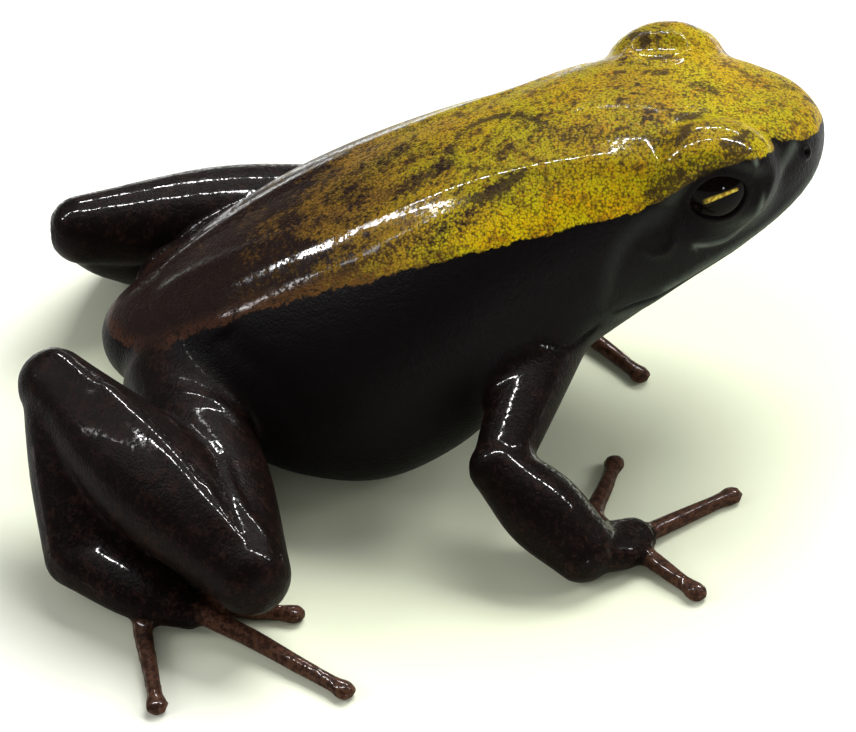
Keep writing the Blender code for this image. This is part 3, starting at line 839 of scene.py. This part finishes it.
ridgeRows = [foldRows[name, side] for name in ("side of the back", "hip bone") for side in ("left", "right")]
onRidge = smooth(*wetness["ridge"], np.min([nearest(places, dots)[0] for dots in ridgeRows], axis=0))
domeAway = [np.linalg.norm(places - centre - (0, 0, 1), axis=1) for centre in eyeCentres.values()]
leftOrOuter = np.maximum(straight[:, 1] > 0, smooth(*wetness["rightDome"], -straight[:, 1]))
onDome = smooth(*wetness["dome"], np.min(domeAway, axis=0)) * leftOrOuter
onRump = wetness["rumpShare"] * smooth(*wetness["rump"], straight[:, 0])
trunkWet = wetness["trunkLeast"] + (1 - wetness["trunkLeast"]) * np.max([onRidge, onDome, onRump], axis=0)
ridgeAway = np.min([nearest(places, lineOn(ridge["line"]))[0] for ridge in legRidges.values()], axis=0)
legWet = wetness["legLeast"] + (1 - wetness["legLeast"]) * smooth(*wetness["legRidge"], ridgeAway)
onRightLeg = (np.minimum(distances["thigh"], distances["shank"]) < wetness["onLeg"]) & (places[:, 1] < 0)
limbWet = np.where(onRightLeg, legWet, 1)
wet = smooth(*wetness["facing"], normals[:, 2]) * np.maximum(limb * limbWet, (1 - limb) * trunkWet)

tints = {"back": back, "patch": patch, "limb": limb, "digit": digit, "hand": hand, "pale": pale,
         "creaseShade": creaseShade, "wet": wet, "along": straight[:, 0]}
for name, values in tints.items():
    layer = skin.data.attributes.new(name, "FLOAT", "POINT")
    layer.data.foreach_set("value", np.ascontiguousarray(values, np.float32))
print("skin: tints laid")

# The frame's right eye gives the way from the frog's own millimetres to the frame.
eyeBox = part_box("eye_right")
shift = np.array(eyeBox[0] + eyeBox[1]) / 2 / mm - eyeCentres["right"]
places = (places + shift) * mm
places = np.clip(places, np.array(cadBox[0]), np.array(cadBox[1]))
setPlaces(skin, places)
skin.data.shade_smooth()
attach(skin, "root")
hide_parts(*[name for name in frame["nodes"] if not name.startswith("eye_")])


def makeEye(side):
    centre, forward, outward, upward = eyeFrame(side)
    places, faces = makeBall((0, 0, 0), (eyes["radius"],) * 3, 0, sides=72, rings=48)
    turn = np.stack([forward, upward, outward], axis=1)
    made = makeObject("eye." + side, (places @ turn.T + centre + shift) * mm, faces)
    faceOutwards(made)
    made.data.shade_smooth()
    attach(made, "root")
    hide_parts("eye_" + side)
    return made


eyeballs = {side: makeEye(side) for side in ("left", "right")}
print("eyes: made")


class Reading:  # a node's output that adds, multiplies and subtracts like a number
    def __init__(self, surface, socket):
        self.surface = surface
        self.socket = socket

    def __add__(self, other):
        return self.surface.sum("ADD", self, other)

    def __radd__(self, other):
        return self.surface.sum("ADD", other, self)

    def __sub__(self, other):
        return self.surface.sum("SUBTRACT", self, other)

    def __rsub__(self, other):
        return self.surface.sum("SUBTRACT", other, self)

    def __mul__(self, other):
        return self.surface.sum("MULTIPLY", self, other)

    def __rmul__(self, other):
        return self.surface.sum("MULTIPLY", other, self)

    def twin(self, output):  # another output of the same node
        return Reading(self.surface, self.socket.node.outputs[output])


class Surface:  # the nodes of a material, or of the world
    def __init__(self, owner, shader="Principled BSDF"):
        owner.use_nodes = True
        self.owner = owner
        self.tree = owner.node_tree
        self.shader = self.tree.nodes[shader]

    def node(self, kind, settings, values, output=0):  # any node: its settings first, then its sockets
        made = self.tree.nodes.new("ShaderNode" + kind)
        for name, value in settings.items():
            setattr(made, name, value)
        for socket, value in values.items():
            self.feed(made.inputs[socket], value)
        return Reading(self, made.outputs[output])

    def feed(self, socket, value):
        if isinstance(value, Reading):
            self.tree.links.new(value.socket, socket)
        elif isinstance(value, tuple) and socket.type == "RGBA":
            socket.default_value = (*value, 1)
        else:
            socket.default_value = value

    def sum(self, operation, first, second):
        return self.node("Math", {"operation": operation}, {0: first, 1: second})

    def step(self, value, low, high, ease="SMOOTHSTEP"):  # 0 at low, 1 at high
        return self.node("MapRange", {"interpolation_type": ease}, {0: value, 1: low, 2: high})

    def mix(self, share, first, second):
        return self.node("Mix", {"data_type": "RGBA"}, {0: share, 6: first, 7: second}, 2)

    def read(self, name):
        return self.node("Attribute", {"attribute_name": name}, {}, 2)

    def finish(self, values):
        for name, value in values.items():
            self.feed(self.shader.inputs[name], value)
        return self.owner


def around(reading, amount):  # a noise or chance of 0 to 1 as up to half the amount either way
    return (reading - 0.5) * amount


skinLook = {
    "olive": (0.74, 0.49, 0.004),
    "amber": (0.82, 0.38, 0.004),
    "lime": (0.64, 0.54, 0.005),
    "pit": (0.085, 0.055, 0.004),
    "mark": (0.045, 0.027, 0.01),
    "ochre": (0.20, 0.10, 0.012),  # the grains left of the olive towards the rump
    "russet": (0.085, 0.03, 0.014),
    "rear": (0.014, 0.006, 0.0045),
    "edge": (0.22, 0.10, 0.012),  # the line where the back meets the flank
    "flank": (0.005, 0.004, 0.004),
    "limb": (0.005, 0.003, 0.0025),
    "limbWarm": (0.022, 0.0095, 0.0065),
    "digit": (0.085, 0.038, 0.022),
    "digitDark": (0.03, 0.014, 0.01),
    "pale": (0.13, 0.15, 0.12),
    # the colour of the painted shade in folds, nostrils and round the eyes
    "creaseShade": (0.003, 0.002, 0.002),
    "grain": 0.085,  # size of a grain of the skin, millimetres
    # how many to a millimetre, then detail and roughness
    "noises": {
        "broad": (0.5, 3.0, 0.5),
        "medium": (1.5, 3.0, 0.6),
        "fine": (4.5, 2.0, 0.5),
        "tiny": (12.0, 2.0, 0.5),
    },
    # how far each colour covers what is under it
    "amberShare": 0.85,
    "darkGrains": 0.38,
    "pits": 0.85,
    # the next three are painted shade: how far the top of the back, the head and the snout are darkened
    "topOfBackShade": 0.42,
    "head": 0.25,
    "snout": 0.13,
    "smears": 0.5,
    "marks": 0.92,
    "rust": 0.9,
    "edgeLine": 0.6,
    "roughness": 0.42,
    "specular": 0.05,
    "film": {"back": 0.85, "limb": 0.8, "least": 0.1, "roughness": 0.08},
    "bumps": {"grain": 0.012, "backGrain": 0.012, "tiny": 0.003, "fine": 0.012, "medium": 0.03},
}


def makeSkinSurface():
    s = Surface(bpy.data.materials.new("moist skin"))
    look = skinLook
    place = s.node("Mapping", {"vector_type": "POINT"}, {
        "Vector": s.node("TexCoord", {}, {}, "Object"),
        "Location": tuple(-v for v in shift),
        "Scale": (1 / mm,) * 3,
    })
    broad, medium, fine, tiny = (
        s.node("TexNoise", {}, {"Vector": place, "Scale": scale, "Detail": detail, "Roughness": roughness})
        for scale, detail, roughness in look["noises"].values())
    grain = s.node("TexVoronoi", {"feature": "F1"}, {
        "Vector": place, "Scale": 1 / look["grain"], "Randomness": 1.0})
    chance = grain.twin(1) * 1.0  # one number for each grain
    along = s.read("along")
    back = s.read("back")
    limb = s.read("limb")
    border = back + around(medium, 0.25) + around(fine, 0.2) + around(chance, 0.06)
    onBack = s.step(border, -0.03, 0.03) * (1 - limb)

    # The olive: grains of three colours with dark pits between them.
    yellow = s.mix(s.step(broad + around(chance, 0.35), 0.4, 0.6), look["olive"], look["lime"])
    amber = s.step(medium + around(chance, 0.5), 0.55, 0.75) * look["amberShare"]
    yellow = s.mix(amber, yellow, look["amber"])
    shade = s.step(grain + around(tiny, 0.5), 0.4, 0.85)
    yellow = s.mix(s.step(chance, 0.5, 0.15) * look["darkGrains"], yellow, look["pit"])
    yellow = s.mix(shade * look["pits"], yellow, look["pit"])
    # Painted shade: the top of the back, the head and the snout are darkened where the lamps light them more
    # than the sides; the smears are dark patches of the skin itself.
    dim = s.step(back, 0.2, 1.8) * look["topOfBackShade"]
    dim = dim + s.step(along, 4.5, 8.5) * look["head"] + s.step(along, 8.5, 11.5) * look["snout"]
    dim = dim + s.step(medium + around(fine, 0.9), 0.48, 0.76) * look["smears"]
    yellow = s.mix(dim, yellow, look["mark"])
    brown = s.step(s.read("patch") + around(fine, 0.5) + around(chance, 0.7), 0.22, 0.68)
    yellow = s.mix(brown * look["marks"], yellow, look["mark"])

    # Towards the rump the olive breaks up, first into ochre grains and then into russet ones.
    rust = s.mix(s.step(along + around(broad, 3.0), -4.5, -9.0), look["ochre"], look["russet"])
    rust = s.mix(shade * 0.8, rust, look["rear"])
    light = s.mix(s.step(along + around(broad, 5.0), 1.5, -5.0) * look["rust"], yellow, rust)
    spread = along * -0.072 + 0.38 + around(broad, 1.1) + around(medium, 0.9)
    spread = spread + around(fine, 0.5) + around(chance, 0.35)
    upper = s.mix(s.step(spread, 0.3, 0.85), light, look["rear"])
    edge = s.step(back, 0.42, 0.1) * s.step(along, 1.5, -3.0) * s.step(fine + around(chance, 0.4), 0.3, 0.55)
    edgeColour = s.mix(s.step(along, -2.0, -9.0), look["edge"], look["russet"])
    upper = s.mix(edge * look["edgeLine"], upper, edgeColour)

    # The black flanks and limbs, redder towards the digits.
    dark = s.mix(limb, look["flank"], look["limb"])
    warmth = s.step(medium + around(fine, 0.6) + around(chance, 0.4), 0.45, 0.85)
    dark = s.mix(warmth * (limb * 0.8 + s.read("hand") * 0.4), dark, look["limbWarm"])
    red = s.mix(s.step(fine + around(chance, 0.4), 0.35, 0.65), look["digitDark"], look["digit"])
    dark = s.mix(s.step(s.read("digit") + around(fine, 0.5), 0.3, 0.9), dark, red)
    dark = s.mix(s.read("pale") * (fine * 0.5 + 0.6), dark, look["pale"])
    colour = s.mix(onBack, dark, upper)
    # Painted shade darkens the folds, the nostrils and the lids round the eyes.
    colour = s.mix(s.read("creaseShade"), colour, look["creaseShade"])

    # The skin itself is dull and grainy, and the film of water on it breaks up into beads.
    roughness = look["roughness"] + around(fine, 0.12) + around(chance, 0.1)
    bumps = look["bumps"]
    height = grain * grain * -1.0 * (bumps["grain"] + onBack * bumps["backGrain"])
    height = height + tiny * bumps["tiny"] + fine * bumps["fine"] + medium * bumps["medium"]
    bump = s.node("Bump", {}, {"Height": height, "Strength": 1.0, "Distance": mm})
    bead = s.step(chance + around(fine, 1.2) + around(medium, 1.4), 0.42, 0.58)
    film = look["film"]
    water = s.read("wet") * (onBack * film["back"] + limb * film["limb"] + film["least"])
    water = water * (bead * 0.96 + 0.04)
    return s.finish({
        "Base Color": colour, "Roughness": roughness, "Normal": bump, "Specular IOR Level": look["specular"],
        "Coat Weight": water, "Coat Roughness": film["roughness"],
    })


skin.data.materials.append(makeSkinSurface())

eyeLook = {
    "pupil": (0.002, 0.0015, 0.0015),
    "iris": (0.005, 0.003, 0.002),
    "gold": (0.75, 0.58, 0.07),
    "goldDark": (0.35, 0.2, 0.02),
    "line": {"height": 0.15, "sag": 0.3, "halfWidth": 0.03, "reach": 0.36},  # in radii of the eye
    "streaks": 14.0,
    "roughness": 0.06,
    "specular": 0.06,
}


def makeEyeSurface(side):
    s = Surface(bpy.data.materials.new("eye " + side))
    centre, forward, _, upward = eyeFrame(side)
    place = s.node("Mapping", {"vector_type": "POINT"}, {
        "Vector": s.node("TexCoord", {}, {}, "Object"),
        "Location": tuple(-(centre + shift) / eyes["radius"]),
        "Scale": (1 / mm / eyes["radius"],) * 3,
    })
    ahead, above = (
        s.node("VectorMath", {"operation": "DOT_PRODUCT"}, {0: place, 1: tuple(way)}, "Value")
        for way in (forward, upward))
    streaks = s.node("TexNoise", {}, {"Vector": place, "Scale": eyeLook["streaks"], "Detail": 3.0})

    # The golden line over the pupil sags a little and thins towards the snout.
    line = eyeLook["line"]
    reach = line["reach"]
    offset = above + ahead * ahead * line["sag"] + around(streaks, 0.015) - line["height"]
    width = s.step(ahead, -reach, reach) * -0.4 * line["halfWidth"] + 1.3 * line["halfWidth"]
    gold = s.step(offset, -1.6 * width, -0.6 * width) * s.step(offset, 2.6 * width, 0.4 * width)
    gold = gold * s.step(ahead, -reach - 0.1, -reach + 0.1) * s.step(ahead, reach + 0.1, reach)
    iris = s.mix(s.step(streaks, 0.35, 0.7), eyeLook["pupil"], eyeLook["iris"])
    golden = s.mix(s.step(streaks, 0.35, 0.6), eyeLook["goldDark"], eyeLook["gold"])
    return s.finish({
        "Base Color": s.mix(gold, iris, golden), "Roughness": eyeLook["roughness"],
        "Specular IOR Level": eyeLook["specular"],
    })


for side, made in eyeballs.items():
    made.data.materials.append(makeEyeSurface(side))
print("surfaces: painted")

camera = bpy.data.objects.new("camera", bpy.data.cameras.new("camera"))
bpy.context.scene.collection.objects.link(camera)
bpy.context.scene.camera = camera
shot = {
    "azimuth": 2.4,
    "elevation": 36.0,
    "roll": -5.4,
    "distance": 100.8,
    "target": (-1.26, -4.20, 4.0),
    "lens": 123.7,
}
azimuth, elevation, roll = (math.radians(shot[name]) for name in ("azimuth", "elevation", "roll"))
flat = math.cos(elevation)
towards = Vector((math.sin(azimuth) * flat, -math.cos(azimuth) * flat, math.sin(elevation)))
right = Vector((math.cos(azimuth), math.sin(azimuth), 0))
up = towards.cross(right)
right, up = right * math.cos(roll) + up * math.sin(roll), up * math.cos(roll) - right * math.sin(roll)
eyePoint = (Vector(shot["target"]) + towards * shot["distance"] + Vector(shift)) * mm
camera.matrix_world = Matrix.Translation(eyePoint) @ Matrix((right, up, towards)).transposed().to_4x4()
camera.data.lens = shot["lens"]
camera.data.sensor_width = 36
camera.data.clip_start = 0.005
camera.data.clip_end = 5

# The ground is painted a yellow-green shade tint near the frog, where its shadow lies, and is nearly white
# farther out.
ground = {
    "near": (0.84, 0.89, 0.66),
    "nearPale": (0.87, 0.91, 0.7),
    "far": (0.95, 0.95, 0.93),
    "fade": (0.012, 0.024),
    "mottle": 40.0,
    "roughness": 0.85,
    "specular": 0.2,
}
floor = makeObject("floor", [(-1, -1, 0), (1, -1, 0), (1, 1, 0), (-1, 1, 0)], [(0, 1, 2, 3)])
card = Surface(bpy.data.materials.new("pale card"))
spot = card.node("TexCoord", {}, {}, "Object")
mottle = card.node("TexNoise", {}, {"Vector": spot, "Scale": ground["mottle"], "Detail": 3.0})
apart = card.node("VectorMath", {"operation": "LENGTH"}, {0: spot}, "Value")
# painted shade tint under and around the frog
shadeTint = card.mix(mottle, ground["near"], ground["nearPale"])
paper = card.mix(card.step(apart, *ground["fade"]), shadeTint, ground["far"])
floor.data.materials.append(card.finish({
    "Base Color": paper, "Roughness": ground["roughness"], "Specular IOR Level": ground["specular"]}))

# Two thin tubes and a small lamp that only what is wet mirrors, and four soft lamps that light the frog.
lamps = {
    "tube": {"place": (0.0, 0.05, 0.25), "size": (0.8, 0.006), "watts": 1.5, "mirrored": True},
    "far tube": {"place": (0.06, 0.19, 0.19), "size": (0.22, 0.006), "watts": 0.4, "mirrored": True},
    "glint": {"place": (0.13, -0.27, 0.03), "size": (0.02, 0.02), "watts": 0.12, "mirrored": True},
    "left": {"place": (-0.2, -0.02, 0.13), "size": (0.12, 0.1), "watts": 0.16, "mirrored": False},
    "key": {"place": (0.077, 0.133, 0.197), "size": (0.2, 0.12), "watts": 0.83, "mirrored": False},
    "side": {"place": (0.217, 0.0, 0.125), "size": (0.1, 0.1), "watts": 0.22, "mirrored": False},
    "fill": {"place": (0.0, -0.285, 0.093), "size": (0.12, 0.08), "watts": 0.12, "mirrored": False},
}
for name, lamp in lamps.items():
    made = bpy.data.objects.new(name, bpy.data.lights.new(name, "AREA"))
    made.data.shape = "RECTANGLE"
    made.data.size, made.data.size_y = lamp["size"]
    made.data.energy = lamp["watts"]
    made.location = lamp["place"]
    made.rotation_euler = (-made.location).to_track_quat("-Z", "Y").to_euler()
    made.visible_glossy = lamp["mirrored"]
    made.visible_diffuse = not lamp["mirrored"]
    bpy.context.scene.collection.objects.link(made)

# What is mirrored is a dark room with a pale wall behind, and what lights the frog is an even pale one.
room = {
    "soft": (0.22, 0.22, 0.21),
    "dim": (0.018, 0.018, 0.018),
    "pale": (0.4, 0.43, 0.36),
    "wallTop": (0.14, 0.02),
    "wallSide": (0.4, 0.8),
}
world = bpy.data.worlds.new("world")
bpy.context.scene.world = world
sky = Surface(world, "Background")
upwards = sky.node("SeparateXYZ", {}, {0: sky.node("TexCoord", {}, {})}, "Z")
wall = sky.step(upwards, *room["wallTop"], "LINEAR")
wall = wall * sky.step(upwards.twin("Y"), *room["wallSide"], "LINEAR")
lights = sky.node("LightPath", {}, {}, "Is Diffuse Ray")
sky.finish({"Color": sky.mix(lights, sky.mix(wall, room["dim"], room["pale"]), room["soft"])})
bpy.context.scene.view_settings.view_transform = "Standard"
print("camera, ground, lamps and room: set")
